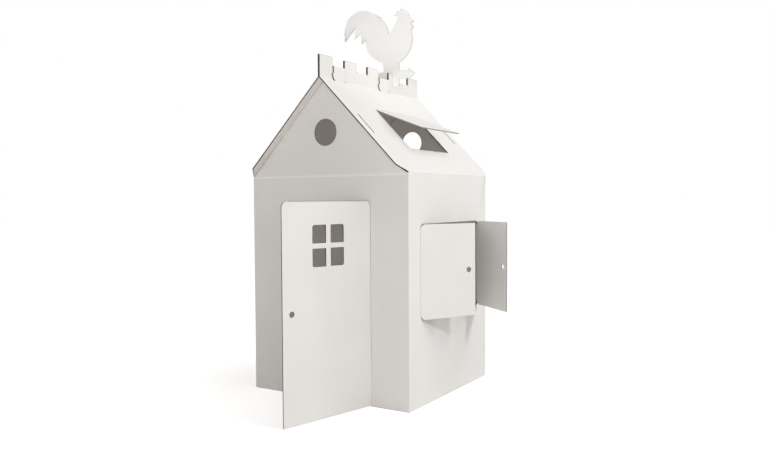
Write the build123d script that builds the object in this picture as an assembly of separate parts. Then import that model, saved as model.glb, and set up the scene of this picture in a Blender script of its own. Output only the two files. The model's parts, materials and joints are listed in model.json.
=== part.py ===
from build123d import *
import os
from math import cos, radians, sin, tan

# Cardboard playhouse: two folded sheets, four flaps cut from them and a slotted weathercock.
# Lengths are in millimetres and angles in degrees.
# The origin is at floor level under the middle of the house, -Y is the front and +Z is up.

# Board and the gaps between its layers
board = 5.0
seat_gap = 0.3
cut_gap = 1.0
hinge_gap = 0.3
slit_gap = 0.5
fold_radius = 2.0
score_width = 13.0
score_depth = 1.6

# House body
house_width = 840.0
house_depth = 770.0
wall_height = 1000.0
roof_pitch = 45.5
gable_overhang = 45.0
overhang_taper = 47.0
glue_flap_width = 60.0
glue_flap_margin = 40.0

# Gable hole, and the tabs on the gable's sloping edges
gable_hole_diameter = 118.0
gable_hole_rise = 184.5
gable_tab_width = 116.0
gable_tab_proud = 0.5

# Battlement crest on the ridge, and its lock tabs
crest_height = 98.0
notch_depth = 43.0
merlon_count = 5
lock_tab_neck_inset = 2.5
lock_tab_barb_reach = 6.5
lock_tab_toe_inset = 3.5
lock_tab_toe_taper = 24.0
lock_tab_neck_drop = 23.0
lock_tab_barb_drop = 32.0
lock_tab_toe_depth = 10.0

# Door
door_side_margin = 188.0
door_head = 118.0
door_floor_gap = 5.0
door_corner_radius = 25.0
door_angle = 76.0
door_finger_hole = 24.0
door_finger_inset = 45.0
pane_width = 69.75
pane_height = 74.0
pane_bar_upright = 24.5
pane_bar_level = 20.5
pane_corner_radius = 10.0
pane_head = 94.0

# Side window and its pair of shutters
window_front_margin = 100.0
window_rear_margin = 92.0
window_sill = 371.0
window_head = 218.0
window_corner_radius = 25.0
shutter_finger_hole = 24.0
shutter_finger_inset = 35.0
front_shutter_angle = 28.0
rear_shutter_angle = 52.0

# Roof light and its flap
light_front_margin = 211.0
light_rear_margin = 190.0
light_eave_margin = 157.0
light_ridge_margin = 177.0
light_angle = 24.5

# Weathercock
cock_merlon_count = 4
cock_slot_depth = 32.0
cock_foot_depth = 32.0
figure_height = 371.0
post_width = 91.0
post_offset = -7.5
bar_width = 40.0
bar_rise = 6.0
arrow_point_reach = 128.0
arrow_head_length = 36.0
arrow_head_width = 57.0
bar_tail_reach = 130.0

# Worked-out places shared by several pieces
half_width = house_width / 2
half_depth = house_depth / 2
pitch = radians(roof_pitch)
slope_length = (half_width - board) / cos(pitch)
ridge_height = wall_height + (half_width - board) * tan(pitch)
eave_inside = wall_height - board * (1 - sin(pitch)) / cos(pitch)
ridge_inside = eave_inside + (half_width - board) * tan(pitch)
roof_run = house_depth + 2 * gable_overhang
crest_unit = roof_run / (2 * merlon_count - 1)
notch_floor = crest_height - notch_depth
door_width = house_width - 2 * door_side_margin
door_top = wall_height - door_head
window_width = house_depth - window_front_margin - window_rear_margin
window_height = wall_height - window_sill - window_head
window_middle = (window_front_margin - window_rear_margin) / 2
window_level = window_sill + window_height / 2
light_low = light_eave_margin
light_high = slope_length - light_ridge_margin
light_front = light_front_margin - half_depth
light_rear = half_depth - light_rear_margin
cock_place = (2 * cock_merlon_count - 1.5) * crest_unit - roof_run / 2
cock_seat = ridge_height + crest_height - cock_slot_depth
clear_of = 4 * board

# Planes on the outer faces: local z points out of the house, local x runs along the panel
front_face = Plane(origin=(0, -half_depth, 0), x_dir=(1, 0, 0), z_dir=(0, -1, 0))
side_face = Plane(origin=(half_width, 0, 0), x_dir=(0, 1, 0), z_dir=(1, 0, 0))
roof_face = Plane(
    origin=(half_width, 0, wall_height), x_dir=(0, 1, 0), z_dir=(sin(pitch), 0, cos(pitch))
)
crest_face = Plane(origin=(board, 0, ridge_height), x_dir=(0, 1, 0), z_dir=(1, 0, 0))


def slab(face, outline):
    """Board behind an outer face, in the shape of an outline."""
    return extrude(face * outline, board, dir=-face.z_dir)


def punch(face, outline):
    """Tool that cuts an outline square through the board at an outer face."""
    return extrude(face * outline, clear_of, both=True)


def along_house(section, front, rear):
    """Prism of an X-Z section that runs from one Y to another."""
    return extrude(Plane.XZ.offset(-rear) * section, rear - front)


def rectangle_between(x_low, x_high, y_low, y_high):
    """Rectangle given by its limits."""
    middle = Pos((x_low + x_high) / 2, (y_low + y_high) / 2)
    return middle * Rectangle(x_high - x_low, y_high - y_low)


def notch_middle(number):
    """Y of a crest notch's middle, counted from the front."""
    return (2 * number - 0.5) * crest_unit - roof_run / 2


def gable_wall(free_end):
    """Wall and gable in one plane, with the round hole, the roof tabs and the scored eave line.

    Args:
        free_end: how far the wall stops short of the far corner.
    """
    drop = seat_gap / cos(pitch)
    inner = half_width - board
    outline = Polygon(
        (free_end - half_width, 0),
        (half_width, 0),
        (half_width, wall_height - drop),
        (inner, eave_inside - drop),
        (0, ridge_inside - drop),
        (-inner, eave_inside - drop),
        (free_end - half_width, eave_inside - drop),
        align=None,
    )
    outline -= Pos(0, wall_height + gable_hole_rise) * Circle(gable_hole_diameter / 2)
    tab_reach = 2 * board + gable_tab_proud
    tab = Pos(0, gable_tab_proud - tab_reach / 2) * Rectangle(gable_tab_width, tab_reach)
    middle_x = half_width - slope_length / 2 * cos(pitch)
    middle_z = wall_height + slope_length / 2 * sin(pitch)
    outline += Pos(middle_x, middle_z) * Rot(0, 0, -roof_pitch) * tab
    outline += Pos(-middle_x, middle_z) * Rot(0, 0, roof_pitch) * tab
    score = Polygon(
        (-half_depth - board, wall_height - score_width),
        (-half_depth, wall_height - score_width),
        (-half_depth + score_depth, wall_height),
        (-half_depth - board, wall_height),
        align=None,
    )
    score_length = house_width - 2 * board
    return slab(front_face, outline) - extrude(Plane.YZ * score, score_length / 2, both=True)


def side_wall(free_end):
    """Side wall, mitred at the eave.

    Args:
        free_end: how far the wall stops short of the rear corner.
    """
    inner = half_width - board
    section = Polygon(
        (half_width, 0),
        (half_width, wall_height),
        (inner, eave_inside),
        (inner, 0),
        align=None,
    )
    return along_house(section, -half_depth, half_depth - free_end)


def roof_slope():
    """Roof slope from eave to ridge, tapered at the eave corners, with slits for the gable tabs."""
    section = Polygon(
        (half_width, wall_height),
        (board, ridge_height),
        (0, ridge_inside),
        (half_width - board, eave_inside),
        align=None,
    )
    slope = along_house(section, -roof_run / 2, roof_run / 2)
    past_verge = roof_run / 2 + clear_of
    for end in (-1, 1):
        corner = Polygon(
            (end * half_depth, 0),
            (end * roof_run / 2, overhang_taper),
            (end * past_verge, overhang_taper),
            (end * past_verge, -clear_of),
            (end * half_depth, -clear_of),
            align=None,
        )
        slope -= punch(roof_face, corner)
        slit = Rectangle(board + 2 * slit_gap, gable_tab_width + 2 * cut_gap)
        slit_place = Pos(end * (half_depth - board / 2), slope_length / 2)
        slope -= punch(roof_face, slit_place * slit)
    return slope


def crest_flap():
    """Upright flap with battlements, folded up from the ridge end of a slope."""
    section = Polygon(
        (board, ridge_height),
        (board, ridge_height + crest_height),
        (0, ridge_height + crest_height),
        (0, ridge_inside),
        align=None,
    )
    flap = along_house(section, -roof_run / 2, roof_run / 2)
    for number in range(1, merlon_count):
        notch = Rectangle(crest_unit, 2 * notch_depth)
        flap -= punch(crest_face, Pos(notch_middle(number), crest_height) * notch)
    return flap


def lock_tab(number):
    """Tab that rises in a notch, folds over the other sheet's crest and tucks in at its ridge."""
    near = -board - seat_gap
    far = near - board
    floor = ridge_height + notch_floor
    fold_top = floor + seat_gap + board
    toe = ridge_height - lock_tab_toe_depth
    section = Polygon(
        (board, floor),
        (board, fold_top),
        (far, fold_top),
        (far, toe),
        (near, toe),
        (near, floor + seat_gap),
        (0, floor + seat_gap),
        (0, floor),
        align=None,
    )
    section = fillet(section.vertices().sort_by(Axis.Y)[-2:], fold_radius)
    middle = notch_middle(number)
    half = crest_unit / 2
    band = along_house(section, middle - crest_unit, middle + crest_unit)
    rear_edge = [
        (half - cut_gap, notch_floor + 2 * board),
        (half - lock_tab_neck_inset, notch_floor - lock_tab_neck_drop),
        (half + lock_tab_barb_reach, notch_floor - lock_tab_barb_drop),
        (half - lock_tab_toe_inset, 0),
        (half - lock_tab_toe_inset - lock_tab_toe_taper, -lock_tab_toe_depth),
    ]
    front_edge = [(-y, z) for y, z in reversed(rear_edge)]
    outline = Pos(middle, 0) * Polygon(*rear_edge, *front_edge, align=None)
    return band & punch(crest_face, outline)


def lock_slit(number):
    """Tool for the slit along the ridge crease that takes the toe of the other sheet's tab."""
    width = board + seat_gap + slit_gap
    length = crest_unit - 2 * lock_tab_toe_inset + 2 * cut_gap
    middle = Pos(board + width / 2, notch_middle(number), ridge_height)
    return middle * Box(width, length, 2 * clear_of)


def glue_flap(face, reach):
    """Flap that folds off a wall's free end and is glued inside the wall it meets.

    Args:
        face: plane on the flap's outer face, with its origin at the foot of the fold.
        reach: local x of the flap's free edge.
    """
    outline = Polygon(
        (0, glue_flap_margin),
        (reach, 2 * glue_flap_margin),
        (reach, wall_height - 2 * glue_flap_margin),
        (0, wall_height - glue_flap_margin),
        align=None,
    )
    return slab(face, outline)


def folded_sheet(lapped):
    """Half of the house: gable wall, side wall, roof slope and crest flap, folded from one sheet.

    It is made as the front half, and turned by half a turn it is the rear half.

    Args:
        lapped: whether the sheet's two free ends carry glue flaps, inside the other sheet.
    """
    free_end = board + seat_gap if lapped else 0
    walls = gable_wall(free_end) + side_wall(free_end)
    corner_edges = walls.edges().filter_by(Axis.Z).filter_by_position(
        Axis.X, half_width - seat_gap, half_width + seat_gap
    )
    walls = fillet(corner_edges.sort_by(Axis.Y)[0], fold_radius)
    sheet = walls + roof_slope() + crest_flap()
    for number in range(1, merlon_count, 2):
        sheet -= lock_slit(number)
        sheet += lock_tab(number + 1)
    if lapped:
        wall_end = Plane(
            origin=(free_end - half_width, -half_depth, 0), x_dir=(0, -1, 0), z_dir=(-1, 0, 0)
        )
        side_end = Plane(
            origin=(half_width, half_depth - free_end, 0), x_dir=(-1, 0, 0), z_dir=(0, 1, 0)
        )
        sheet += glue_flap(wall_end, -glue_flap_width)
        sheet += glue_flap(side_end, glue_flap_width)
    return sheet


def rounded_top(x_low, x_high, y_low, y_high, radius):
    """Rectangle whose two upper corners are rounded."""
    outline = rectangle_between(x_low, x_high, y_low, y_high)
    return fillet(outline.vertices().sort_by(Axis.Y)[-2:], radius)


def doorway():
    """Outline of the doorway, open at the floor."""
    return rounded_top(-door_width / 2, door_width / 2, -board, door_top, door_corner_radius)


def window_opening(gap_along, gap_up):
    """Outline of the side window, or of what fills it with a gap all round."""
    outline = RectangleRounded(
        window_width - 2 * gap_along, window_height - 2 * gap_up, window_corner_radius - gap_up
    )
    return Pos(window_middle, window_level) * outline


def light_opening():
    """Outline of the roof light."""
    return rectangle_between(light_front, light_rear, light_low, light_high)


def crest_slot():
    """Tool for the slot in both crest flaps that takes the weathercock."""
    slot = Box(4 * board, board + 2 * slit_gap, 2 * cock_slot_depth)
    return Pos(0, cock_place, cock_seat + cock_slot_depth) * slot


def door_panes():
    """Outline of the four panes of the door's window."""
    height = 2 * pane_height + pane_bar_level
    panes = RectangleRounded(2 * pane_width + pane_bar_upright, height, pane_corner_radius)
    panes -= Rectangle(pane_bar_upright, height)
    panes -= Rectangle(2 * pane_width + pane_bar_upright, pane_bar_level)
    return Pos(0, door_top - pane_head - height / 2) * panes


def door():
    """Door leaf with its window and finger hole, swung open."""
    outline = rounded_top(
        cut_gap - door_width / 2,
        door_width / 2 - hinge_gap,
        door_floor_gap,
        door_top - cut_gap,
        door_corner_radius - cut_gap,
    )
    outline -= door_panes()
    finger_place = Pos(door_finger_inset - door_width / 2, (door_floor_gap + door_top) / 2)
    outline -= finger_place * Circle(door_finger_hole / 2)
    hinge = Axis((door_width / 2, -half_depth, 0), (0, 0, 1))
    return slab(front_face, outline).rotate(hinge, door_angle)


def shutter(end, angle):
    """One leaf of the side window's pair of shutters, swung open.

    Args:
        end: -1 for the front leaf and 1 for the rear one.
        angle: how far the leaf is swung from the wall.
    """
    reach = window_width / 2
    half = Rectangle(reach - cut_gap / 2, window_height)
    half_place = Pos(window_middle + end * (reach + cut_gap / 2) / 2, window_level)
    outline = window_opening(hinge_gap, cut_gap) & (half_place * half)
    finger_place = Pos(window_middle + end * (cut_gap / 2 + shutter_finger_inset), window_level)
    outline -= finger_place * Circle(shutter_finger_hole / 2)
    hinge = Axis((half_width, window_middle + end * reach, 0), (0, 0, 1))
    return slab(side_face, outline).rotate(hinge, end * angle)


def roof_light_flap():
    """Flap of the roof light, hinged at its upper edge and lifted."""
    outline = rectangle_between(
        light_front + cut_gap, light_rear - cut_gap, light_low + cut_gap, light_high - hinge_gap
    )
    hinge_point = roof_face.from_local_coords((0, light_high, 0))
    hinge = Axis(hinge_point, (0, -1, 0))
    return slab(roof_face, outline).rotate(hinge, light_angle)


def cock_figure():
    """Outline of the cockerel, drawn on a grid 100 units high that stands on the slots' meeting line.

    The round stretches are splines, and the comb, beak, wattle and tail feathers have sharp points.
    """
    grid = figure_height / 100
    tail_tip = (-77.9, 61.2)
    neck_valley = (-5.7, 62.5)
    comb_back = (9.7, 84.6)
    under_wattle = (28.8, 64.4)
    post_right = (12.1, 24.3)
    post_left = (-14.3, 25.1)
    tail_root = (-42.3, 59.8)
    tail_back = [tail_tip, (-78.2, 79.0), (-70.5, 92.6), (-52.8, 100.0), (-27.0, 92.5)]
    tail_back += [(-14.0, 81.9), neck_valley]
    comb = [comb_back, (3.5, 87.9), (8.6, 88.7), (6.7, 92.5), (11.1, 91.6), (12.9, 95.4)]
    comb += [(17.5, 92.7), (21.8, 94.1), (25.9, 86.0)]
    face = [(27.5, 82.2), (34.0, 75.5), (28.8, 74.1), (32.9, 67.4), under_wattle]
    breast = [under_wattle, (31.0, 53.9), (27.8, 39.4), (21.8, 31.3), post_right]
    belly = [post_left, (-26.7, 31.0), (-39.6, 44.2), tail_root]
    feathers = [tail_root, (-50.4, 55.3), (-50.4, 65.5), (-48.0, 70.1), (-56.6, 66.8)]
    feathers += [(-62.5, 63.1), (-61.2, 69.5), (-60.1, 80.1), (-66.0, 73.0), tail_tip]
    outline = [
        Spline(*tail_back),
        Spline(neck_valley, (4.6, 74.7), comb_back),
        Polyline(*comb, *face),
        Spline(*breast),
        Line(post_right, post_left),
        Spline(*belly),
        Polyline(*feathers),
    ]
    return scale(make_face(outline), grid)


def weathercock():
    """Flat cockerel on a post with an arrow, slotted onto the crest."""
    figure = cock_figure()
    figure += rectangle_between(
        post_offset - post_width / 2,
        post_offset + post_width / 2,
        -cock_foot_depth,
        figure_height / 3,
    )
    bar_top = bar_rise + bar_width
    bar_middle = bar_rise + bar_width / 2
    head_back = arrow_point_reach - arrow_head_length
    figure += rectangle_between(-bar_tail_reach, head_back, bar_rise, bar_top)
    figure += Polygon(
        (arrow_point_reach, bar_middle),
        (head_back, bar_middle + arrow_head_width / 2),
        (head_back, bar_middle - arrow_head_width / 2),
        align=None,
    )
    slot_half = board + slit_gap
    figure -= rectangle_between(-slot_half, slot_half, -cock_foot_depth - board, 0)
    face = Plane(
        origin=(0, cock_place - board / 2, cock_seat + seat_gap), x_dir=(1, 0, 0), z_dir=(0, -1, 0)
    )
    return slab(face, figure)


front_sheet = folded_sheet(lapped=False)
front_sheet -= punch(front_face, doorway())
front_sheet -= punch(side_face, window_opening(0, 0))
front_sheet -= punch(roof_face, light_opening())
front_sheet -= crest_slot()
rear_sheet = folded_sheet(lapped=True).rotate(Axis.Z, 180)
rear_sheet -= crest_slot()

nodes = {
    "front_sheet": front_sheet,
    "rear_sheet": rear_sheet,
    "door": door(),
    "front_shutter": shutter(-1, front_shutter_angle),
    "rear_shutter": shutter(1, rear_shutter_angle),
    "roof_light_flap": roof_light_flap(),
    "weathercock": weathercock(),
}

os.makedirs("parts", exist_ok=True)
for name, shape in nodes.items():
    export_step(shape, f"parts/{name}.step")
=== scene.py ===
import json
import logging
import math
from dataclasses import dataclass, field
from enum import Enum

import bmesh
import bpy
from mathutils import Matrix, Vector
from mathutils.bvhtree import BVHTree


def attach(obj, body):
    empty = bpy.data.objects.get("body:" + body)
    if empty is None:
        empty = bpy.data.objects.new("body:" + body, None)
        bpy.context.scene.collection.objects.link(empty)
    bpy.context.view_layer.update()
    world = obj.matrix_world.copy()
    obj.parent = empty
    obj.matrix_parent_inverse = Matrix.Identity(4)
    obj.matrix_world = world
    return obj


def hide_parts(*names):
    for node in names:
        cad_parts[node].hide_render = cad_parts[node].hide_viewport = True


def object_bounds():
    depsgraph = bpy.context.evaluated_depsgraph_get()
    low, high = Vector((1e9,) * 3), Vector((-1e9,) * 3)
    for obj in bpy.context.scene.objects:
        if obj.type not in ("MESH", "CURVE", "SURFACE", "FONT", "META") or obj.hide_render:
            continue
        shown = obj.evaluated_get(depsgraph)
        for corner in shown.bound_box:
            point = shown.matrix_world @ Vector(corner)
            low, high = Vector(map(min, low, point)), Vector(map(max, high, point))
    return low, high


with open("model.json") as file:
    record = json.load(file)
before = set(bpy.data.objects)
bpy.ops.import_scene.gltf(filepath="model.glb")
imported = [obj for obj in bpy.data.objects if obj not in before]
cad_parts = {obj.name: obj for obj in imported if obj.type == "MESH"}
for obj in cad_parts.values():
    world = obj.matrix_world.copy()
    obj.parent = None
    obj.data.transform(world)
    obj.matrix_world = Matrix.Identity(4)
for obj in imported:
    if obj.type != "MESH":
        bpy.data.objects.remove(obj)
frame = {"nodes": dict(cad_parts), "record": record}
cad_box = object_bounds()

# Looks of a cardboard playhouse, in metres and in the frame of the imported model.
# Each board is redrawn with crushed rims, an open core and rounded folds, then gets its flutes.

LOG = logging.getLogger("playhouse")
CAD_WELD = 2e-6
FLAT_TURN = math.radians(0.05)
PROBE_START = 1e-5
PROBE_REACH = 1.0
LEVEL_BOARD = 1e-4
SAME_PLANE = 0.9995
LEAST_REACH = 1e-3
LONGEST_MITRE = 1.6
FLUTE_WELD = 1e-6

Colour = tuple[float, float, float]
Place = tuple[float, float, float]
Span = tuple[float, float]

COOL: Colour = (1.0, 1.0, 1.0)
WARM: Colour = (1.0, 0.972, 0.955)
FRONT_WALL: Place = (0.0, -0.4, 0.9)
WINDOW_WALL: Place = (0.42, 0.0, 0.4)


class Skin(Enum):
    """What a face of a board is."""

    LINER = 0
    CUT = 1


class Slot(Enum):
    """Places of the finishes on a dressed board."""

    OUTSIDE = 0
    INSIDE = 1
    RIM = 2
    # The hollow's finish is painted shade.
    HOLLOW = 3


class Ring(Enum):
    """Rings of points along a rim, from the flat of the liner down into the core."""

    FLAT = 0
    BEND = 1
    EDGE = 2
    BACK = 3
    DEEP = 4


@dataclass(frozen=True)
class Grain:
    """A noise: grains to the metre, octaves, weight of the finer ones, and stretch by axis."""

    scale: float
    detail: float = 3.0
    roughness: float = 0.5
    stretch: Place = (1.0, 1.0, 1.0)


class Term:
    """A shader value that adds Math nodes when it is used in an expression."""

    def __init__(self, sheet: "ShaderSheet", socket: bpy.types.NodeSocket) -> None:
        """Wraps an output socket of a material's nodes, which new nodes join."""
        self.sheet = sheet
        self.socket = socket

    def _math(self, operation: str, *values: "Term | float") -> "Term":
        """One Math node, with the values that its sockets hold in order."""
        sockets = dict(enumerate(values))
        return self.sheet.node("ShaderNodeMath", {"operation": operation}, sockets)

    def __add__(self, other: "Term | float") -> "Term":
        """Sum."""
        return self._math("ADD", self, other)

    def __radd__(self, other: float) -> "Term":
        """Sum with a number on the left."""
        return self._math("ADD", other, self)

    def __sub__(self, other: "Term | float") -> "Term":
        """Difference."""
        return self._math("SUBTRACT", self, other)

    def __rsub__(self, other: float) -> "Term":
        """Difference from a number."""
        return self._math("SUBTRACT", other, self)

    def __mul__(self, other: "Term | float") -> "Term":
        """Product."""
        return self._math("MULTIPLY", self, other)

    def __rmul__(self, other: float) -> "Term":
        """Product with a number on the left."""
        return self._math("MULTIPLY", other, self)

    def sine(self) -> "Term":
        """Sine of the value in radians."""
        return self._math("SINE", self)

    def larger(self, other: "Term | float") -> "Term":
        """The larger of two values."""
        return self._math("MAXIMUM", self, other)

    def clamped(self) -> "Term":
        """The value kept between 0 and 1."""
        return self._math("MINIMUM", self.larger(0.0), 1.0)


class ShaderSheet:
    """The nodes of one material, or of the world."""

    def __init__(self, holder: bpy.types.Material | bpy.types.World) -> None:
        """Empties the nodes of a material or world.

        Args:
            holder: The material or world.
        """
        self.holder = holder
        self.holder.use_nodes = True
        self.tree = holder.node_tree
        self.tree.nodes.clear()

    @classmethod
    def of_material(cls, name: str) -> "ShaderSheet":
        """Starts a new material."""
        return cls(bpy.data.materials.new(name))

    def node(self, kind: str, settings: dict | None = None, sockets: dict | None = None,
             result: str | int = 0) -> Term:
        """Adds any node.

        Args:
            kind: The node's type.
            settings: Its properties.
            sockets: What its inputs hold, by name or place: a value or a link.
            result: The output that is wanted, by name or place.

        Returns:
            The wanted output.
        """
        made = self.tree.nodes.new(kind)
        for name, value in (settings or {}).items():
            setattr(made, name, value)
        for name, value in (sockets or {}).items():
            if isinstance(value, Term):
                self.tree.links.new(value.socket, made.inputs[name])
            elif isinstance(value, tuple) and made.inputs[name].type == "RGBA":
                made.inputs[name].default_value = (*value, 1.0)
            else:
                made.inputs[name].default_value = value
        return Term(self, made.outputs[result])

    def place(self, kind: str) -> Term:
        """Texture coordinates of a kind, such as Object or UV."""
        return self.node("ShaderNodeTexCoord", result=kind)

    def noise(self, grain: Grain) -> Term:
        """Noise between 0 and 1 over a surface.

        Args:
            grain: The pattern.

        Returns:
            The noise.
        """
        at = self.node("ShaderNodeMapping", None, {
            "Vector": self.place("Object"), "Scale": grain.stretch,
        })
        return self.node("ShaderNodeTexNoise", None, {
            "Vector": at, "Scale": grain.scale, "Detail": grain.detail,
            "Roughness": grain.roughness,
        })

    def attribute(self, name: str) -> Term:
        """A number that the mesh carries."""
        return self.node("ShaderNodeAttribute", {"attribute_name": name}, result="Fac")

    def showing(self) -> Term:
        """Tells the rays that show the backdrop straight, mirrored or through glass.

        Returns:
            1 for such rays, else 0.
        """
        rays = ("Is Camera Ray", "Is Glossy Ray", "Is Transmission Ray")
        seen, mirrored, through = (self.node("ShaderNodeLightPath", result=ray) for ray in rays)
        return seen.larger(mirrored).larger(through)

    def mixed(self, share: Term, first: Term | Colour, second: Term | Colour) -> Term:
        """Mixes two colours: a share of 0 gives the first and 1 gives the second."""
        return self.node("ShaderNodeMix", {"data_type": "RGBA"}, {0: share, 6: first, 7: second}, 2)

    def between(self, value: Term, span: Span) -> Term:
        """Maps a value from a range onto 0 to 1, clamped.

        Args:
            value: The value.
            span: What becomes 0, and what becomes 1.

        Returns:
            The mapped value.
        """
        return self.node("ShaderNodeMapRange", None, {
            "Value": value, "From Min": span[0], "From Max": span[1],
        })

    def bump(self, height: Term, strength: float, distance: float) -> Term:
        """Normal from a height.

        Args:
            height: Height between 0 and 1.
            strength: How much of it is used.
            distance: What a height of 1 stands for, in metres.

        Returns:
            The normal.
        """
        return self.node("ShaderNodeBump", None, {
            "Height": height, "Strength": strength, "Distance": distance,
        })

    def surface(self, sockets: dict) -> bpy.types.Material:
        """Ends the material in a Principled surface, given what its inputs hold."""
        return self.ended(self.node("ShaderNodeBsdfPrincipled", None, sockets))

    def ended(self, shader: Term, end: str = "ShaderNodeOutputMaterial") -> bpy.types.ID:
        """Ends the nodes in a shader.

        Args:
            shader: The shader.
            end: The type of the output node.

        Returns:
            The material or world.
        """
        output = self.tree.nodes.new(end)
        self.tree.links.new(shader.socket, output.inputs["Surface"])
        return self.holder


@dataclass(frozen=True)
class LinerFinish:
    """Matt white liner paper on corrugated board."""

    name: str
    paper: Colour
    shade: Colour
    # Colour of rubbed wear and painted shade along cuts and folds.
    wear_and_edge_shade: Colour
    flute_pitch: float
    rough: float = 0.62
    rough_swing: float = 0.12
    shine: float = 0.35
    # Painted highlight on the up-facing slope of the crease.
    crease_highlight: Colour = (0.90, 0.89, 0.87)
    crease_highlight_share: float = 0.8
    clouds: Grain = Grain(5.0, detail=4.0)
    fibre: Grain = Grain(900.0, detail=2.0, roughness=0.7, stretch=(1.0, 1.0, 0.35))
    scuffs: Grain = Grain(60.0)
    dents: Grain = Grain(40.0)
    tone_shares: tuple[float, float, float] = (0.75, 0.2, 0.05)
    tone_span: Span = (0.3, 0.7)
    scuff_span: Span = (0.35, 0.6)
    # Least and extra share of that wear and painted shade, by scuffs.
    least_wear_and_shade: float = 0.6
    more_wear_and_shade: float = 0.35
    relief_shares: tuple[float, float, float] = (0.35, 0.25, 0.4)
    relief_strength: float = 0.35
    relief_depth: float = 0.0004

    def build(self) -> bpy.types.Material:
        """Mixes the finish.

        Returns:
            The material.
        """
        sheet = ShaderSheet.of_material(self.name)
        clouds = sheet.noise(self.clouds)
        fibre = sheet.noise(self.fibre)
        across = sheet.node("ShaderNodeSeparateXYZ", None, {0: sheet.place("UV")}, "X")
        ribs = (across * (2.0 * math.pi / self.flute_pitch)).sine() * 0.5 + 0.5
        by_clouds, by_fibre, by_ribs = self.tone_shares
        # A small share of the tone is painted shade of the flute ribs under the liner.
        tone = (clouds * by_clouds + fibre * by_fibre + ribs * by_ribs).clamped()
        colour = sheet.mixed(sheet.between(tone, self.tone_span), self.paper, self.shade)
        # Rubbed wear and painted shade: the liner darkens towards its cut edges and folds.
        scuffs = sheet.between(sheet.noise(self.scuffs), self.scuff_span)
        wear_and_shade = sheet.attribute("wear_and_shade") * (scuffs * self.more_wear_and_shade + self.least_wear_and_shade)
        colour = sheet.mixed(wear_and_shade.clamped(), colour, self.wear_and_edge_shade)
        # Painted highlight: the up-facing slope of the crease is lightened.
        colour = sheet.mixed(sheet.attribute("crease_highlight") * self.crease_highlight_share, colour, self.crease_highlight)
        by_fibre, by_ribs, by_dents = self.relief_shares
        height = fibre * by_fibre + ribs * by_ribs + sheet.noise(self.dents) * by_dents
        return sheet.surface({
            "Base Color": colour,
            "Roughness": fibre * self.rough_swing + (self.rough - self.rough_swing / 2),
            "Specular IOR Level": self.shine,
            "Normal": sheet.bump(height, self.relief_strength, self.relief_depth),
        })


@dataclass(frozen=True)
class CoreFinish:
    """Unbleached paper in the core of the board, with loose fibres and a painted highlight on
    marked cuts.
    """

    name: str
    paper: Colour
    shade: Colour
    # Colour of the painted highlight on marked cut edges.
    edge_highlight_colour: Colour
    rough: float = 0.8
    rough_swing: float = 0.1
    shine: float = 0.2
    fibre: Grain = Grain(1400.0, roughness=0.7)
    patches: Grain = Grain(70.0)
    tone_shares: tuple[float, float] = (0.6, 0.4)
    tone_span: Span = (0.35, 0.65)
    relief_strength: float = 0.4
    relief_depth: float = 0.0002

    def build(self) -> bpy.types.Material:
        """Mixes the finish.

        Returns:
            The material.
        """
        sheet = ShaderSheet.of_material(self.name)
        fibre = sheet.noise(self.fibre)
        by_fibre, by_patches = self.tone_shares
        tone = fibre * by_fibre + sheet.noise(self.patches) * by_patches
        colour = sheet.mixed(sheet.between(tone, self.tone_span), self.paper, self.shade)
        # Painted highlight on the cut edges of the marked parts.
        colour = sheet.mixed(sheet.attribute("edge_highlight"), colour, self.edge_highlight_colour)
        return sheet.surface({
            "Base Color": colour,
            "Roughness": fibre * self.rough_swing + self.rough,
            "Specular IOR Level": self.shine,
            "Normal": sheet.bump(fibre, self.relief_strength, self.relief_depth),
        })


@dataclass(frozen=True)
class BoardMake:
    """Make of the corrugated board and of its cut edges."""

    thickness: float = 0.005
    liner: float = 0.0004
    crush: float = 0.0003
    # Width of the band along a cut that is darkened as rubbed wear and painted shade.
    wear_and_shade_band: float = 0.003
    hollow: float = 0.0035
    flute_pitch: float = 0.0078
    medium: float = 0.0003
    step: float = 0.0012
    fold_radius: float = 0.0018
    fold_turns: Span = (math.radians(25.0), math.radians(100.0))
    fold_segments: int = 3
    # Share of rubbed wear and painted shade along a rounded fold.
    fold_wear_and_shade: float = 0.5
    # Upward tilt of the outer faces that get the painted highlight of the crease.
    crease_slope: Span = (0.05, 0.3)
    least_rim: float = 0.0015
    liner_depths: Span = (0.7, 1.6)
    end_lengths: Span = (0.9, 1.6)

    @property
    def wave(self) -> float:
        """Half the height of a flute."""
        return self.thickness / 2 - self.crush - self.liner - self.medium


@dataclass
class Rim:
    """One stretch of a cut edge, at the middle of the board."""

    ends: tuple[Vector, Vector]
    normal: Vector
    inward: Vector
    # Share of the painted highlight on this cut edge.
    edge_highlight: float


@dataclass
class Draft:
    """The new points and faces of a board, and the points by old vertex and ring."""

    points: list[Vector] = field(default_factory=list)
    # Share of rubbed wear and painted shade at each point.
    wear_and_shade_levels: list[float] = field(default_factory=list)
    spots: dict[tuple[int, Ring], int] = field(default_factory=dict)
    faces: list[tuple[int, ...]] = field(default_factory=list)
    slots: list[Slot] = field(default_factory=list)
    normals: list[Vector] = field(default_factory=list)

    def add(self, corners: list[int], slot: Slot, normal: Vector) -> None:
        """Adds a face.

        Args:
            corners: Its points, by index.
            slot: Its finish.
            normal: The normal of the old face that it stands for.
        """
        self.faces.append(tuple(corners))
        self.slots.append(slot)
        self.normals.append(normal.copy())


def across_of(normal: Vector) -> Vector:
    """The level direction in a board's plane, across its flutes.

    Args:
        normal: The board's normal.

    Returns:
        The direction, which is +X on a board that lies flat.
    """
    level = Vector((0.0, 0.0, 1.0)).cross(normal)
    if level.length < LEVEL_BOARD:
        return Vector((1.0, 0.0, 0.0))
    level.normalize()
    return -level if level.x + level.y < 0.0 else level


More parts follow.
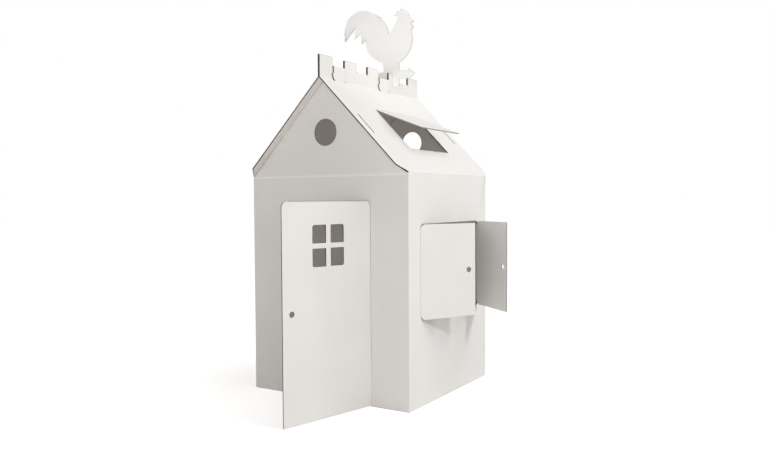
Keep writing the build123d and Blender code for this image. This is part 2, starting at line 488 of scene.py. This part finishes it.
def mitred(normals: list[Vector]) -> Vector:
    """The step that moves a corner one unit behind each of its planes.

    Args:
        normals: Outward normals of the planes.

    Returns:
        The step, inward.
    """
    kept: list[Vector] = []
    for normal in normals:
        if all(normal.dot(other) < SAME_PLANE for other in kept):
            kept.append(normal)
    total = sum(kept, Vector())
    if total.length < LEAST_REACH:
        return -kept[0]
    total.normalize()
    reach = sum(total.dot(normal) for normal in kept) / len(kept)
    return -total * min(1.0 / max(reach, LEAST_REACH), LONGEST_MITRE)


def hold_in(mesh: bpy.types.Mesh) -> None:
    """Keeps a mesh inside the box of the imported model.

    Args:
        mesh: The mesh, in the frame's own axes.
    """
    low, high = cad_box
    for vert in mesh.vertices:
        vert.co = [min(max(at, least), most) for at, least, most in zip(vert.co, low, high)]


def placed(name: str, data: bpy.types.ID) -> bpy.types.Object:
    """Puts a new object into the scene.

    Args:
        name: Its name.
        data: Its mesh, lamp or camera.

    Returns:
        The object.
    """
    made = bpy.data.objects.new(name, data)
    bpy.context.scene.collection.objects.link(made)
    return made


@dataclass
class Board:
    """One board of the frame, redrawn with its folds, rims and open core."""

    node: str
    body: str
    slot: str
    make: BoardMake
    finishes: dict[Slot, bpy.types.Material]
    # Share of the painted highlight on the board's cut edges.
    edge_highlight: float = 0.0
    middle: Vector = field(default_factory=lambda: Vector((0.0, 0.0, 0.7)))
    first_side: Vector = field(default_factory=lambda: Vector((0.9, -0.8, 0.31)))
    rims: list[Rim] = field(default_factory=list)

    def _source(self) -> bmesh.types.BMesh:
        """Copies the node's mesh, closed and with its triangles joined into flat faces.

        Returns:
            The copy, to be freed after use.
        """
        work = bmesh.new()
        work.from_mesh(frame["nodes"][self.node].data)
        bmesh.ops.remove_doubles(work, verts=work.verts, dist=CAD_WELD)
        bmesh.ops.dissolve_limit(work, angle_limit=FLAT_TURN, verts=work.verts, edges=work.edges)
        work.normal_update()
        return work

    def _skins(self, work: bmesh.types.BMesh) -> dict[int, Skin]:
        """Tells liner from cut edge: under a liner the board is one thickness deep.

        Args:
            work: The board.

        Returns:
            Each face's skin, by index.
        """
        shallow, deepest = (share * self.make.thickness for share in self.make.liner_depths)
        short, longest = (share * self.make.thickness for share in self.make.end_lengths)
        work.faces.ensure_lookup_table()
        work.faces.index_update()
        tree = BVHTree.FromBMesh(work)
        inner: dict[int, tuple[float, Vector]] = {}
        for loops in work.calc_loop_triangles():
            corners = [loop.vert.co for loop in loops]
            area = (corners[1] - corners[0]).cross(corners[2] - corners[0]).length
            face = loops[0].face.index
            if area > inner.get(face, (0.0, None))[0]:
                inner[face] = (area, sum(corners, Vector()) / 3.0)
        skins: dict[int, Skin] = {}
        for face in work.faces:
            start = inner[face.index][1] - face.normal * PROBE_START
            depth = tree.ray_cast(start, -face.normal, PROBE_REACH)[3]
            one_deep = depth is not None and shallow < depth < deepest
            has_end = any(short < edge.calc_length() < longest for edge in face.edges)
            liner = one_deep or not has_end
            skins[face.index] = Skin.LINER if liner else Skin.CUT
        return skins

    def _rounded(self, work: bmesh.types.BMesh, skins: dict[int, Skin]) -> dict[int, Skin]:
        """Rounds the sharp folds of the board and cuts all its faces into triangles.

        Args:
            work: The board.
            skins: Each face's skin, by index.

        Returns:
            The skins of the new faces, by index.
        """
        kept = work.faces.layers.int.new("skin")
        creased = work.verts.layers.int.new("creased")
        for face in work.faces:
            face[kept] = skins[face.index].value
        least, most = self.make.fold_turns
        folds = [
            edge for edge in work.edges
            if all(face[kept] == Skin.LINER.value for face in edge.link_faces)
            and least < edge.calc_face_angle(0.0) < most
        ]
        if folds:
            made = bmesh.ops.bevel(
                work, geom=folds, offset=self.make.fold_radius, offset_type="OFFSET",
                segments=self.make.fold_segments, profile=0.5, affect="EDGES",
                clamp_overlap=True, loop_slide=False,
            )
            strips = set(made["faces"])
            for vert in made["verts"]:
                if all(face in strips or face[kept] == Skin.CUT.value for face in vert.link_faces):
                    vert[creased] = 1
        bmesh.ops.triangulate(work, faces=work.faces[:])
        work.normal_update()
        work.faces.ensure_lookup_table()
        work.faces.index_update()
        return {face.index: Skin(face[kept]) for face in work.faces}

    def build(self) -> bpy.types.Object:
        """Redraws the board.

        Returns:
            The finished object, in place of the node.
        """
        work = self._source()
        skins = self._rounded(work, self._skins(work))
        mesh = self._mesh(self._redrawn(work, skins))
        work.free()
        piece = placed(f"{self.node}_board", mesh)
        for finish in Slot:
            mesh.materials.append(self.finishes[finish])
        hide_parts(self.node)
        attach(piece, self.body)
        counts = (len(mesh.polygons), len(self.rims))
        LOG.info("%s: %d faces, %d stretches of rim", piece.name, *counts)
        return piece

    def _redrawn(self, work: bmesh.types.BMesh, skins: dict[int, Skin]) -> Draft:
        """Draws liners with crushed rims, and a hollow between them along each cut.

        Args:
            work: The board.
            skins: Each face's skin, by index.

        Returns:
            The new points and faces.
        """
        make = self.make
        creased = work.verts.layers.int["creased"]
        draft = Draft()

        def spot(vert: bmesh.types.BMVert, ring: Ring) -> int:
            """The new point of an old vertex, made when it is first asked for.

            Args:
                vert: The vertex.
                ring: The ring that the point lies on.

            Returns:
                The point's index.
            """
            key = (vert.index, ring)
            if key in draft.spots:
                return draft.spots[key]
            liners = [f.normal for f in vert.link_faces if skins[f.index] is Skin.LINER]
            cuts = [f.normal for f in vert.link_faces if skins[f.index] is Skin.CUT]
            into = mitred(cuts) if cuts else Vector()
            down = mitred(liners) if liners else Vector()
            moves = {
                Ring.FLAT: into * make.wear_and_shade_band,
                Ring.BEND: into * make.crush,
                Ring.EDGE: down * make.crush,
                Ring.BACK: down * (make.crush + make.liner),
                Ring.DEEP: down * (make.crush + make.liner) + into * make.hollow,
            }
            unworn = ring is Ring.FLAT or not cuts
            draft.spots[key] = len(draft.points)
            draft.points.append(vert.co + (moves[ring] if cuts else Vector()))
            # Rubbed wear and painted shade: full at a cut's rim, part along rounded folds.
            draft.wear_and_shade_levels.append(make.fold_wear_and_shade * vert[creased] if unworn else 1.0)
            return draft.spots[key]

        rings = list(Ring)
        work.verts.index_update()
        for face in work.faces:
            if skins[face.index] is Skin.CUT:
                draft.add([spot(v, Ring.DEEP) for v in face.verts], Slot.HOLLOW, face.normal)
                continue
            side = Slot.OUTSIDE if self._faces_out(face) else Slot.INSIDE
            draft.add([spot(v, Ring.FLAT) for v in face.verts], side, face.normal)
            for loop in face.loops:
                other = next((f for f in loop.edge.link_faces if f is not face), None)
                if other is None or skins[other.index] is not Skin.CUT:
                    continue
                start, end = loop.link_loop_next.vert, loop.vert
                for upper, lower in zip(rings, rings[1:]):
                    slot = {Ring.EDGE: Slot.RIM, Ring.BACK: Slot.HOLLOW}.get(upper, side)
                    corners = ((start, upper), (end, upper), (end, lower), (start, lower))
                    draft.add([spot(*corner) for corner in corners], slot, face.normal)
                self._note_rim(start.co, end.co, face.normal, other.normal)
        return draft

    def _mesh(self, draft: Draft) -> bpy.types.Mesh:
        """Makes the board's new mesh.

        Args:
            draft: The new points and faces.

        Returns:
            The mesh, with its UV map and what the finishes read from it.
        """
        mesh = bpy.data.meshes.new(f"{self.node}_board")
        mesh.from_pydata([tuple(point) for point in draft.points], [], draft.faces)
        chart = mesh.uv_layers.new(name="board").data
        for polygon, slot, normal in zip(mesh.polygons, draft.slots, draft.normals):
            polygon.material_index = slot.value
            across = across_of(normal)
            along = normal.cross(across)
            for loop in polygon.loop_indices:
                at = mesh.vertices[mesh.loops[loop].vertex_index].co
                chart[loop].uv = (at.dot(across), at.dot(along))
        # Share of rubbed wear and painted shade at each point.
        wear_and_shade = mesh.attributes.new("wear_and_shade", "FLOAT", "POINT")
        wear_and_shade.data.foreach_set("value", draft.wear_and_shade_levels)
        # Share of the painted highlight on the cut edges.
        edge_highlight = mesh.attributes.new("edge_highlight", "FLOAT", "POINT")
        edge_highlight.data.foreach_set("value", [self.edge_highlight] * len(draft.points))
        # Painted highlight on the up-facing crease slope of the house's outer liner.
        least, most = self.make.crease_slope
        crease_highlight = mesh.attributes.new("crease_highlight", "FLOAT", "FACE")
        crease_highlight.data.foreach_set("value", [
            float(slot is Slot.OUTSIDE and least < normal.z < most and self.slot == "house_board")
            for slot, normal in zip(draft.slots, draft.normals)
        ])
        hold_in(mesh)
        mesh.validate()
        mesh.update()
        return mesh

    def _faces_out(self, face: bmesh.types.BMFace) -> bool:
        """Whether a liner face looks out of the house; a flap is the same on both sides.

        Args:
            face: The face.

        Returns:
            True for an outer face.
        """
        if not self.node.endswith("sheet"):
            return True
        return face.normal.dot(face.calc_center_median() - self.middle) > 0.0

    def _note_rim(self, start: Vector, end: Vector, normal: Vector, cut: Vector) -> None:
        """Keeps a stretch of rim, once for the board's two liners.

        Args:
            start: One end on the liner.
            end: The other end.
            normal: The liner's normal.
            cut: The cut face's normal.
        """
        if normal.dot(self.first_side) > 0.0 and (end - start).length > self.make.least_rim:
            shift = -normal * self.make.thickness / 2
            self.rims.append(Rim((start + shift, end + shift), normal.copy(), -cut, self.edge_highlight))


class GeometryTree:
    """A Geometry Nodes tree that is written in the script."""

    def __init__(self, name: str, inputs: dict[str, str]) -> None:
        """Starts a tree with a geometry in and out.

        Args:
            name: The tree's name.
            inputs: Socket types of its named inputs.
        """
        self.tree = bpy.data.node_groups.new(name, "GeometryNodeTree")
        face = self.tree.interface
        face.new_socket("Geometry", in_out="INPUT", socket_type="NodeSocketGeometry")
        face.new_socket("Geometry", in_out="OUTPUT", socket_type="NodeSocketGeometry")
        self.keys: dict[str, str] = {}
        for label, kind in inputs.items():
            socket = face.new_socket(label, in_out="INPUT", socket_type=kind)
            self.keys[label] = socket.identifier
        self.start = self.tree.nodes.new("NodeGroupInput")
        self.end = self.tree.nodes.new("NodeGroupOutput")

    def given(self, label: str) -> bpy.types.NodeSocket:
        """A named input of the tree."""
        return self.start.outputs[label]

    def node(self, kind: str, settings: dict | None = None, sockets: dict | None = None,
             result: str | int = 0) -> bpy.types.NodeSocket:
        """Adds a node.

        Args:
            kind: The node's type.
            settings: Its properties.
            sockets: What its inputs hold: a value or a link.
            result: The output that is wanted.

        Returns:
            The wanted output.
        """
        made = self.tree.nodes.new(kind)
        for name, value in (settings or {}).items():
            setattr(made, name, value)
        for name, value in (sockets or {}).items():
            if isinstance(value, bpy.types.NodeSocket):
                self.tree.links.new(value, made.inputs[name])
            else:
                made.inputs[name].default_value = value
        return made.outputs[result]

    def math(self, operation: str, first: object, second: object = 0.0) -> bpy.types.NodeSocket:
        """A Math node."""
        return self.node("ShaderNodeMath", {"operation": operation}, {0: first, 1: second})

    def joined(self, *parts: bpy.types.NodeSocket) -> bpy.types.NodeSocket:
        """Several geometries as one.

        Args:
            *parts: The geometries.

        Returns:
            The joined geometry.
        """
        made = self.tree.nodes.new("GeometryNodeJoinGeometry")
        for part in parts:
            self.tree.links.new(part, made.inputs[0])
        return made.outputs[0]

    def scaled(self, vector: object, factor: object) -> bpy.types.NodeSocket:
        """A vector times a number."""
        sockets = {0: vector, "Scale": factor}
        return self.node("ShaderNodeVectorMath", {"operation": "SCALE"}, sockets)

    def close(self, geometry: bpy.types.NodeSocket, material: bpy.types.NodeSocket) -> None:
        """Ends the tree in Realize Instances and Set Material.

        Args:
            geometry: What the tree gives.
            material: Its material.
        """
        real = self.node("GeometryNodeRealizeInstances", None, {"Geometry": geometry})
        done = self.node("GeometryNodeSetMaterial", None, {"Geometry": real, "Material": material})
        self.tree.links.new(done, self.end.inputs[0])


@dataclass
class Flutes:
    """The wavy paper between the liners, where the cut edges of a body's boards show it."""

    body: str
    slot: str
    make: BoardMake
    finish: bpy.types.Material

    @staticmethod
    def grow() -> GeometryTree:
        """The tree that waves each stretch of rim and gives it depth.

        Returns:
            The tree.
        """
        inputs = dict.fromkeys(("Pitch", "Wave", "Depth", "Paper", "Step"), "NodeSocketFloat")
        grow = GeometryTree("flutes", inputs | {"Finish": "NodeSocketMaterial"})

        def carried(name: str) -> bpy.types.NodeSocket:
            """A direction that the rim carries."""
            settings = {"data_type": "FLOAT_VECTOR"}
            return grow.node("GeometryNodeInputNamedAttribute", settings, {"Name": name})

        lines = grow.node("GeometryNodeMeshToCurve", None, {"Mesh": grow.given("Geometry")})
        lines = grow.node("GeometryNodeResampleCurve", {"mode": "LENGTH"}, {
            "Curve": lines, "Length": grow.given("Step"),
        })
        lines = grow.node("GeometryNodeCurveToMesh", None, {"Curve": lines})
        sockets = {0: grow.node("GeometryNodeInputPosition"), 1: carried("across")}
        run = grow.node("ShaderNodeVectorMath", {"operation": "DOT_PRODUCT"}, sockets, "Value")
        turn = grow.math("MULTIPLY", grow.math("DIVIDE", run, grow.given("Pitch")), 2.0 * math.pi)
        rise = grow.math("MULTIPLY", grow.math("SINE", turn), grow.given("Wave"))
        lines = grow.node("GeometryNodeSetPosition", None, {
            "Geometry": lines, "Offset": grow.scaled(carried("normal"), rise),
        })
        ribbon = grow.node("GeometryNodeExtrudeMesh", {"mode": "EDGES"}, {
            "Mesh": lines, "Offset": carried("inward"), "Offset Scale": grow.given("Depth"),
        })
        upper = grow.node("GeometryNodeExtrudeMesh", {"mode": "FACES"}, {
            "Mesh": ribbon, "Offset": carried("normal"), "Offset Scale": grow.given("Paper"),
            "Individual": False,
        })
        lower = grow.node("GeometryNodeFlipFaces", None, {"Mesh": ribbon})
        sheet = grow.node("GeometryNodeMergeByDistance", None, {
            "Geometry": grow.joined(upper, lower), "Distance": FLUTE_WELD,
        })
        grow.close(sheet, grow.given("Finish"))
        return grow

    def build(self, grow: GeometryTree, rims: list[Rim]) -> bpy.types.Object:
        """Grows the flutes along a body's rims.

        Args:
            grow: The tree.
            rims: The stretches of rim.

        Returns:
            The finished object.
        """
        name = f"{self.body}_flutes"
        points = [tuple(end) for rim in rims for end in rim.ends]
        path = bpy.data.meshes.new(f"{name}_path")
        path.from_pydata(points, [(2 * k, 2 * k + 1) for k in range(len(rims))], [])
        for label, pick in {
            "normal": lambda rim: rim.normal,
            "inward": lambda rim: rim.inward,
            "across": lambda rim: across_of(rim.normal),
        }.items():
            values = [number for rim in rims for _ in rim.ends for number in pick(rim)]
            path.attributes.new(label, "FLOAT_VECTOR", "POINT").data.foreach_set("vector", values)
        # Share of the painted highlight on the flutes.
        edge_highlight = path.attributes.new("edge_highlight", "FLOAT", "POINT")
        edge_highlight.data.foreach_set("value", [rim.edge_highlight for rim in rims for _ in rim.ends])
        piece = placed(name, path)
        grower = piece.modifiers.new("flutes", "NODES")
        grower.node_group = grow.tree
        for label, value in {
            "Pitch": self.make.flute_pitch,
            "Wave": self.make.wave,
            "Depth": self.make.hollow,
            "Paper": self.make.medium,
            "Step": self.make.step,
            "Finish": self.finish,
        }.items():
            grower[grow.keys[label]] = value
        piece.data = bake(piece)
        piece.modifiers.remove(grower)
        hold_in(piece.data)
        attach(piece, self.body)
        LOG.info("%s: %d faces", name, len(piece.data.polygons))
        return piece


def bake(piece: bpy.types.Object) -> bpy.types.Mesh:
    """Turns an object with its modifiers into a plain mesh.

    Args:
        piece: The object.

    Returns:
        The evaluated mesh.
    """
    bpy.context.view_layer.update()
    graph = bpy.context.evaluated_depsgraph_get()
    return bpy.data.meshes.new_from_object(piece.evaluated_get(graph))


@dataclass
class PlayHouse:
    """The house, its flaps and the weathercock."""

    make: BoardMake = field(default_factory=BoardMake)
    paper: Colour = (0.80, 0.792, 0.772)
    shade: Colour = (0.768, 0.758, 0.736)
    inside: Colour = (0.91, 0.875, 0.845)
    inside_shade: Colour = (0.88, 0.845, 0.81)
    inside_rough: float = 0.7
    # Paper lightened as painted light on the weathercock and the rear shutter.
    painted_light_paper: Colour = (0.88, 0.875, 0.86)
    painted_light_paper_dark: Colour = (0.86, 0.853, 0.835)
    # Rubbed wear and painted shade along cuts and folds, then a fainter one.
    wear_and_edge_shade: Colour = (0.42, 0.38, 0.34)
    faint_wear_and_edge_shade: Colour = (0.76, 0.745, 0.72)
    # Brown core paper darkened as painted shade, darkest in the hollow.
    core_with_painted_shade: Colour = (0.06, 0.045, 0.036)
    core_deep_painted_shade: Colour = (0.03, 0.022, 0.018)
    # Colour of the painted highlight on some cut edges.
    edge_highlight_colour: Colour = (0.50, 0.47, 0.43)
    flap_nodes: tuple[str, ...] = ("door", "front_shutter", "roof_light_flap")
    # Parts whose paper is lightened as painted light.
    painted_light_nodes: tuple[str, ...] = ("weathercock", "rear_shutter")
    # Parts whose cut edges get a painted highlight.
    edge_highlight_nodes: tuple[str, ...] = ("rear_shutter", "roof_light_flap", "weathercock")

    def finishes(self) -> dict[Slot, bpy.types.Material]:
        """Mixes the finishes of the walls and the roof.

        Returns:
            The materials, by slot.
        """
        pitch = self.make.flute_pitch
        liner = LinerFinish("white_liner", self.paper, self.shade, self.wear_and_edge_shade, pitch)
        inner = LinerFinish(
            "inner_liner", self.inside, self.inside_shade, self.wear_and_edge_shade, pitch, self.inside_rough
        )
        # Rim, hollow and flutes take the core colours darkened as painted shade.
        edge = CoreFinish("liner_edge_painted_shade", self.core_with_painted_shade, self.core_deep_painted_shade, self.edge_highlight_colour)
        hollow = CoreFinish("board_hollow_painted_shade", self.core_deep_painted_shade, self.core_deep_painted_shade, self.edge_highlight_colour)
        return {
            Slot.OUTSIDE: liner.build(),
            Slot.INSIDE: inner.build(),
            Slot.RIM: edge.build(),
            Slot.HOLLOW: hollow.build(),
        }

    def build(self) -> None:
        """Redraws every board and grows its flutes, body by body."""
        plain = self.finishes()
        pitch = self.make.flute_pitch
        # Painted light: lighter outer paper on the weathercock and the rear shutter.
        painted_light_paper = LinerFinish("painted_light_liner", self.painted_light_paper, self.painted_light_paper_dark, self.faint_wear_and_edge_shade, pitch)
        # Flaps get the fainter rubbed wear and painted shade along their edges.
        flap = LinerFinish("flap_liner", self.paper, self.shade, self.faint_wear_and_edge_shade, pitch)
        own = dict.fromkeys(self.painted_light_nodes, plain | {Slot.OUTSIDE: painted_light_paper.build()})
        own |= dict.fromkeys(self.flap_nodes, plain | {Slot.OUTSIDE: flap.build()})
        # The flutes take the core colours darkened as painted shade.
        medium = CoreFinish("fluted_paper_painted_shade", self.core_with_painted_shade, self.core_deep_painted_shade, self.edge_highlight_colour).build()
        grow = Flutes.grow()
        slots = {part["node"]: part["material_slot"] for part in frame["record"]["subparts"]}
        for body, nodes in frame["record"]["behaviour"]["bodies"].items():
            boards = [
                Board(
                    node, body, slots[node], self.make, own.get(node, plain),
                    float(node in self.edge_highlight_nodes),
                )
                for node in nodes
            ]
            for board in boards:
                board.build()
            rims = [rim for board in boards for rim in board.rims]
            Flutes(body, slots[nodes[0]], self.make, medium).build(grow, rims)


@dataclass(frozen=True)
class Lamp:
    """A square soft lamp: its place, aim, side, watts, colour and the angle of its spread."""

    name: str
    place: Place
    aim: Place
    size: float
    watts: float
    colour: Colour = COOL
    spread: float = math.pi

    def build(self) -> None:
        """Hangs the lamp, out of the camera's sight."""
        data = bpy.data.lights.new(self.name, "AREA")
        data.size = self.size
        data.energy = self.watts
        data.color = self.colour
        data.spread = self.spread
        place = Vector(self.place)
        turn = (Vector(self.aim) - place).to_track_quat("-Z", "Y").to_matrix().to_4x4()
        lamp = placed(self.name, data)
        lamp.matrix_world = Matrix.Translation(place) @ turn
        lamp.visible_camera = False


@dataclass
class Studio:
    """Floor, backdrop light, soft lamps and the camera of the photograph."""

    eye: Vector = field(default_factory=lambda: Vector((1.9291, -3.0069, 0.8842)))
    yaw: float = math.radians(-31.766)
    dip: float = math.radians(1.9305)
    roll: float = math.radians(-0.3408)
    lens: float = 34.344
    sensor: float = 36.0
    floor_size: float = 60.0
    floor_grain: Grain = Grain(0.8)
    floor_tones: tuple[Colour, Colour] = ((0.71, 0.71, 0.71), (0.73, 0.73, 0.73))
    floor_rough: float = 0.5
    floor_lift: float = 0.6
    white: Colour = (1.0, 1.0, 1.0)
    fill: Colour = (1.0, 0.96, 0.91)
    fill_strength: float = 0.30
    sun_from: Vector = field(default_factory=lambda: Vector((0.25, 0.12, 0.55)))
    sun_strength: float = 1.184
    sun_spread: float = math.radians(40.0)
    lamps: tuple[Lamp, ...] = (
        Lamp("side_lamp", (3.22, -0.42, 2.4), WINDOW_WALL, 0.3, 29.8),
        Lamp("rear_lamp", (2.9, 2.2, 2.0), WINDOW_WALL, 0.7, 19.0),
        Lamp("front_lamp", (1.2, -4.6, 1.1), FRONT_WALL, 2.2, 32.8, WARM),
        Lamp("left_lamp", (-2.2, -4.0, 1.4), FRONT_WALL, 2.0, 13.4, WARM),
        Lamp("camera_lamp", (3.0, -3.6, 1.2), (0.3, -0.3, 0.8), 1.6, 18.6, WARM),
        Lamp("cock_lamp", (0.9, -1.9, 2.9), (0.0, 0.05, 1.76), 0.3, 0.5, COOL, math.radians(24.0)),
    )

    def camera(self) -> None:
        """Sets the camera where the photograph was taken."""
        level = Vector((math.sin(self.yaw), math.cos(self.yaw), 0.0))
        ahead = level * math.cos(self.dip) - Vector((0.0, 0.0, math.sin(self.dip)))
        right = Vector((math.cos(self.yaw), -math.sin(self.yaw), 0.0))
        above = right.cross(ahead)
        across = right * math.cos(self.roll) + above * math.sin(self.roll)
        upright = above * math.cos(self.roll) - right * math.sin(self.roll)
        data = bpy.data.cameras.new("photo_camera")
        data.lens = self.lens
        data.sensor_width = self.sensor
        camera = placed("photo_camera", data)
        turn = Matrix((across, upright, -ahead)).transposed().to_4x4()
        camera.matrix_world = Matrix.Translation(self.eye) @ turn
        bpy.context.scene.camera = camera

    def world(self) -> None:
        """A white backdrop for the camera and an even fill for the rest."""
        world = bpy.data.worlds.new("studio")
        bpy.context.scene.world = world
        sheet = ShaderSheet(world)
        fill = sheet.node("ShaderNodeBackground", None, {
            "Color": self.fill, "Strength": self.fill_strength,
        })
        white = sheet.node("ShaderNodeBackground", None, {"Color": self.white, "Strength": 1.0})
        both = sheet.node("ShaderNodeMixShader", None, {0: sheet.showing(), 1: fill, 2: white})
        sheet.ended(both, "ShaderNodeOutputWorld")

    def floor(self) -> None:
        """A plain pale floor that the camera sees as white, with the house's shadow."""
        half = self.floor_size / 2
        mesh = bpy.data.meshes.new("floor")
        corners = [(-half, -half, 0), (half, -half, 0), (half, half, 0), (-half, half, 0)]
        mesh.from_pydata(corners, [], [(0, 1, 2, 3)])
        sheet = ShaderSheet.of_material("studio_floor")
        tone = sheet.noise(self.floor_grain)
        paint = sheet.node("ShaderNodeBsdfDiffuse", None, {
            "Color": sheet.mixed(tone, *self.floor_tones), "Roughness": self.floor_rough,
        })
        lift = sheet.node("ShaderNodeEmission", None, {
            "Color": self.white, "Strength": sheet.showing() * self.floor_lift,
        })
        both = sheet.node("ShaderNodeAddShader", None, {0: paint, 1: lift})
        mesh.materials.append(sheet.ended(both))
        floor = placed("floor", mesh)

    def skylight(self) -> None:
        """A broad soft light from overhead."""
        data = bpy.data.lights.new("skylight", "SUN")
        data.energy = self.sun_strength
        data.angle = self.sun_spread
        data.color = COOL
        sun = placed("skylight", data)
        sun.matrix_world = (-self.sun_from).to_track_quat("-Z", "Y").to_matrix().to_4x4()

    def build(self) -> None:
        """Sets the whole studio."""
        scene = bpy.context.scene
        scene.view_settings.view_transform = "Standard"
        self.world()
        self.floor()
        self.camera()
        self.skylight()
        for lamp in self.lamps:
            lamp.build()
        LOG.info("studio: floor, fill, skylight, %d lamps and the camera", len(self.lamps))


def main() -> None:
    """Builds the studio and the playhouse in order."""
    logging.basicConfig(level=logging.INFO, format="%(name)s: %(message)s")
    Studio().build()
    PlayHouse().build()
    LOG.info("sizes written")


if __name__ == "__main__":
    main()
